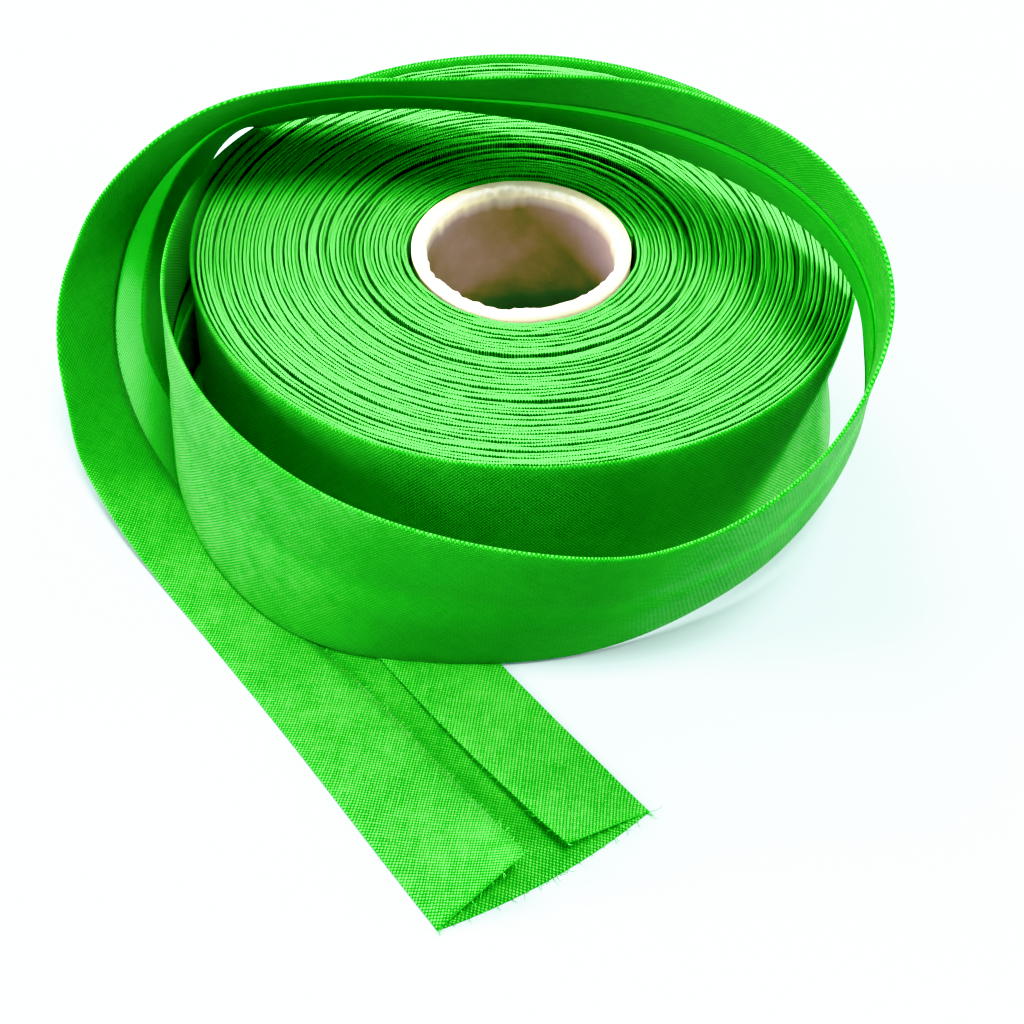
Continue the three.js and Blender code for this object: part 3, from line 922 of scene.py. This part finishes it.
# %% [markdown]
# ## The card core
# The core is a wound paper tube, cut roughly: its rim is torn and furry, and its inner edge is
# chipped. A lathe would be too clean, so the rings are built here point by point, and the
# edges of the rim wander by a few sines of uneven length.

# %% Core with a torn rim
CORE_WALL = 2.3
CORE_STEPS = 480
# Each part of the card has a darker and a lighter colour, which run into each other.
CARD_INSIDE = (0.235, 0.165, 0.148, 1), (0.290, 0.203, 0.180, 1)
CARD_RIM = (0.70, 0.61, 0.38, 1), (0.90, 0.81, 0.54, 1)
CARD_TORN = (0.74, 0.67, 0.50, 1), (0.94, 0.91, 0.80, 1)


def make_card():
    material, n, surface = plain_material("torn_card", 0.92, 0.2)
    place = n.add("ShaderNodeTexCoord").outputs["Object"]
    fibres = n.noise(place, 900.0, 6.0, 0.7)
    blotches = n.noise(place, 160.0, 4.0, 0.6)
    raw = n.add("ShaderNodeAttribute", attribute_name="torn").outputs["Fac"]
    inside, rim, torn = (n.blend(n.spread(cloud, 0.35, 0.65), *shades) for cloud, shades in (
        (blotches, CARD_INSIDE), (blotches, CARD_RIM), (fibres, CARD_TORN)))
    colour = n.blend(n.spread(raw, 0.0, 0.5), inside, rim)
    colour = n.blend(n.spread(raw, 0.5, 1.0), colour, torn)
    bump = n.add("ShaderNodeBump", {"Strength": 0.7, "Distance": 0.12 * MM, "Height": fibres})
    n.tree.links.new(colour, surface["Base Color"])
    n.tree.links.new(bump.outputs[0], surface["Normal"])
    return material


def wander(seed, periods, size):
    """A closed uneven line round the rim, from a few sines of seeded phase."""
    dice = np.random.default_rng(seed)
    turn = np.linspace(0, 2 * math.pi, CORE_STEPS, endpoint=False)
    total = np.zeros(CORE_STEPS)
    for period in periods:
        total += np.sin(period * turn + dice.uniform(0, 2 * math.pi)) / math.sqrt(period)
    return size * total / math.sqrt(len(periods))


def build_core():
    outer, inner = CARD_RADIUS - 0.05, CARD_RADIUS - CORE_WALL
    rough = wander(1, (5, 9, 14, 23, 37, 61, 97), 0.36)
    chips = np.clip(wander(2, (3, 7, 13, 29, 47), 1.9), 0, 1.0)
    lip = wander(3, (4, 11, 19, 31, 53, 89), 0.55)
    fray = wander(4, (17, 41, 67, 101, 139), 0.24)
    top = CORE_HEIGHT
    edge = inner + 0.35 + rough + 0.6 * chips
    profile = [    # radius, height, how torn the card is there
        (outer, 0.0, 0.0), (outer, top - 1.0, 0.3), (outer - 0.03, top - 0.15, 0.5),
        (outer - 0.18, top + 0.05 * lip, 0.5), (outer - 0.7, top + 0.02 + 0.06 * lip, 0.5),
        (edge + 0.55, top + 0.10 * lip, 0.5), (edge + 0.25 + fray, top + 0.06 + 0.2 * lip, 0.85),
        (edge + fray, top - 0.10 + 0.3 * lip, 1.0),
        (edge - 0.22 + 1.5 * fray, top - 0.45 + 0.35 * lip, 1.0),
        (edge - 0.16 + fray, top - 0.85 + 0.3 * lip, 0.75),
        (inner + 0.10 + 0.4 * rough, top - 1.4 - chips, 0.25),
        (inner, top - 3.0 - chips, 0.0), (inner, top / 2, 0.0), (inner, 0.0, 0.0),
    ]
    turn = np.linspace(0, 2 * math.pi, CORE_STEPS, endpoint=False)
    rings = [np.stack([r * np.cos(turn), r * np.sin(turn), z + 0 * turn], axis=1)
             for r, z, _ in profile]
    torn = np.repeat([share for _, _, share in profile], CORE_STEPS)
    number = np.arange(len(profile) * CORE_STEPS).reshape(len(profile), CORE_STEPS)
    faces = ring_faces(number, np.roll(number, -1, 0))
    mesh = bpy.data.meshes.new("card_core")
    mesh.from_pydata((np.concatenate(rings) * MM + np.array(AXIS)).tolist(), [],
                     faces.reshape(-1, 4).tolist())
    store(mesh, "torn", torn)
    mesh.polygons.foreach_set("use_smooth", np.ones(len(mesh.polygons), dtype=bool))
    mesh.materials.append(make_card())
    return add_object("card_core", mesh)


card_core = build_core()
print("card core:", triangles(card_core), "triangles")
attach(card_core, "root")
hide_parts("core")

# %% [markdown]
# ## Surface and light
# A pale floor and soft studio light. The key lamp is high, in front and a little to the right,
# so the arch throws its shade back over the turns. A wide lamp behind lights the far turns, two
# low ones light the loop from both sides, and the pale surroundings fill the rest.

# %% Floor, lamps and surroundings
FLOOR_HALF = 1.5
FLOOR_COLOUR = (0.30, 0.385, 0.375, 1)
SURROUNDINGS_COLOUR = (0.93, 0.98, 1.0, 1)


def make_floor():
    mesh = bpy.data.meshes.new("floor")
    h = FLOOR_HALF
    mesh.from_pydata([(-h, -h, 0), (h, -h, 0), (h, h, 0), (-h, h, 0)], [], [(0, 1, 2, 3)])
    material, _, surface = plain_material("pale_floor", 0.7, 0.2)
    surface["Base Color"].default_value = FLOOR_COLOUR
    mesh.materials.append(material)
    floor = add_object("floor", mesh)


def make_lamp(name, bearing, elevation, distance, size, power):
    data = bpy.data.lights.new(name, "AREA")
    data.shape = "DISK"
    data.size = size
    data.energy = power
    lamp = add_object(name, data)
    turn, rise = math.radians(bearing), math.radians(elevation)
    towards = Vector((math.cos(turn) * math.cos(rise), math.sin(turn) * math.cos(rise),
                      math.sin(rise)))
    lamp.location = AXIS + towards * distance
    lamp.rotation_euler = towards.to_track_quat("Z", "Y").to_euler()
    lamp.visible_camera = False


def make_surroundings(strength):
    world = bpy.data.worlds.new("surroundings")
    world.use_nodes = True
    shade = world.node_tree.nodes["Background"]
    shade.inputs["Color"].default_value = SURROUNDINGS_COLOUR
    shade.inputs["Strength"].default_value = strength
    bpy.context.scene.world = world


make_floor()
make_surroundings(0.78)
make_lamp("key_lamp", bearing=-66, elevation=69.5, distance=2.5, size=0.7, power=128)
make_lamp("back_lamp", bearing=125, elevation=48, distance=2.0, size=1.2, power=42)
make_lamp("left_lamp", bearing=190, elevation=18, distance=1.2, size=0.5, power=36)
make_lamp("right_lamp", bearing=-4, elevation=14, distance=1.2, size=0.5, power=28)

# %% Film curve
FILM_BLACK, FILM_WHITE = 0.018, 3.0
FILM_SHOULDER = ((0.25, 0.25), (0.5, 0.5), (0.75, 0.745), (1.0, 0.92), (1.3, 0.985), (1.8, 1.0))
FILM_TOE = ((0.03, 0.004), (0.045, 0.03), (0.06, 0.062), (0.08, 0.085), (0.12, 0.12))


def set_film():
    """Plain colours, with the deepest shade taken down to black as in a contrasty print, and
    with the brightest rolled off so that the pale floor keeps its shadows."""
    view = bpy.context.scene.view_settings
    view.view_transform = "Standard"
    view.use_curve_mapping = True
    mapping = view.curve_mapping
    mapping.black_level = (FILM_BLACK, FILM_BLACK, FILM_BLACK)
    mapping.white_level = (FILM_WHITE, FILM_WHITE, FILM_WHITE)
    shoulder = [(place / FILM_WHITE, value) for place, value in FILM_SHOULDER]
    for number, bends in ((0, FILM_TOE), (2, FILM_TOE), (3, shoulder)):
        curve = mapping.curves[number]
        for place, value in bends:
            curve.points.new(place, value)
        for point in curve.points:
            point.handle_type = "VECTOR"
    mapping.update()


set_film()

# %% Update the scene
bpy.context.view_layer.update()
